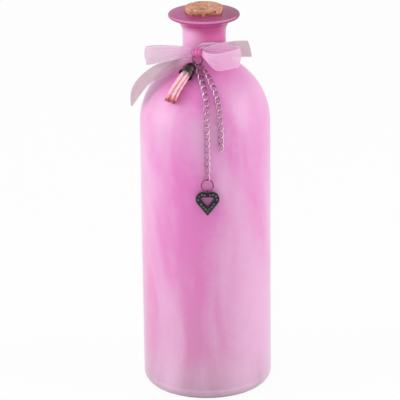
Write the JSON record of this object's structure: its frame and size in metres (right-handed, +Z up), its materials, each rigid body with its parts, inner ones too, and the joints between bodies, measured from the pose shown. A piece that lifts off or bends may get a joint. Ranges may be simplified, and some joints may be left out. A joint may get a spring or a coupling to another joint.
{
  "type": "decorative bottle",
  "caption": "Tall round frosted glass bottle with a flared lip and cork, a ribbon bow round its neck, and a tassel, a heart charm and chains hanging from the bow.",
  "frame": {"origin": "centre of the base, on the plane that the bottle stands on", "axes": "+Z up along the bottle, -Y towards the viewer (the side with the bow and the chains), +X to the right"},
  "size_m": [0.1068, 0.1042, 0.3037],
  "materials": {
    "frosted_glass": "frosted, coated pink, clouded",
    "cork": "matt agglomerated cork",
    "organza": "sheer organza",
    "dark_metal": "gunmetal plating",
    "silver_chain": "bright nickel plating",
    "black_metal": "black plating, glossy",
    "stone": "clear grey-green",
    "bronze": "dark antique bronze",
    "tassel_cord": "satin cord"
  },
  "bodies": {
    "bottle": {"bottle_glass": "frosted_glass", "ribbon_neck_wrap": "organza", "ribbon_knot": "organza", "ribbon_left_loop": "organza", "ribbon_right_loop": "organza", "ribbon_left_tail": "organza", "ribbon_right_tail": "organza", "hanging_ring": "dark_metal"},
    "cork": {"cork_stopper": "cork"},
    "long_upper": {"long_chain_upper": "silver_chain"},
    "long_middle": {"long_chain_middle": "silver_chain"},
    "long_lower": {"long_chain_lower": "silver_chain"},
    "ring": {"jump_ring": "dark_metal"},
    "heart": {"heart_frame": "black_metal", "heart_stones": "stone"},
    "short_upper": {"short_chain_upper": "silver_chain"},
    "short_lower": {"short_chain_lower": "silver_chain"},
    "tassel": {"tassel_eye_pin": "dark_metal", "tassel_cap": "bronze", "tassel_strands": "tassel_cord"}
  },
  "joints": [
    {"name": "cork_pull", "type": "slide", "parent": "bottle", "child": "cork", "axis": [0, 0, 1], "range_m": [0, 0.035]},
    {"name": "long_chain_lift", "type": "hinge", "parent": "bottle", "child": "long_upper", "pos_m": [-0.00507, -0.02136, 0.26406], "axis": [-0.9998, -0.0209, 0], "range_deg": [0, 35]},
    {"name": "long_chain_middle_lift", "type": "hinge", "parent": "long_upper", "child": "long_middle", "pos_m": [0.00056, -0.04262, 0.24285], "axis": [-0.9998, -0.0209, 0], "range_deg": [0, 25]},
    {"name": "long_chain_lower_lift", "type": "hinge", "parent": "long_middle", "child": "long_lower", "pos_m": [0.00108, -0.05157, 0.21341], "axis": [-0.9998, -0.0209, 0], "range_deg": [0, 30]},
    {"name": "jump_ring_swing", "type": "hinge", "parent": "long_lower", "child": "ring", "pos_m": [0.0011, -0.05226, 0.18273], "axis": [-0.0209, 0.9998, 0], "range_deg": [-20, 20]},
    {"name": "heart_lift", "type": "hinge", "parent": "ring", "child": "heart", "pos_m": [0.0011, -0.05226, 0.17363], "axis": [-0.9998, -0.0209, 0], "range_deg": [0, 45]},
    {"name": "short_chain_swing", "type": "hinge", "parent": "bottle", "child": "short_upper", "pos_m": [-0.00223, -0.02207, 0.26596], "axis": [-0.225, 0.9744, 0], "range_deg": [-10, 0]},
    {"name": "short_chain_lower_lift", "type": "hinge", "parent": "short_upper", "child": "short_lower", "pos_m": [0.00996, -0.04329, 0.23988], "axis": [-0.9744, -0.225, 0], "range_deg": [0, 35]},
    {"name": "tassel_swing", "type": "hinge", "parent": "bottle", "child": "tassel", "pos_m": [-0.00799, -0.02063, 0.26534], "axis": [0.229, 0.5861, -0.7772], "range_deg": [-3, 12]}
  ]
}
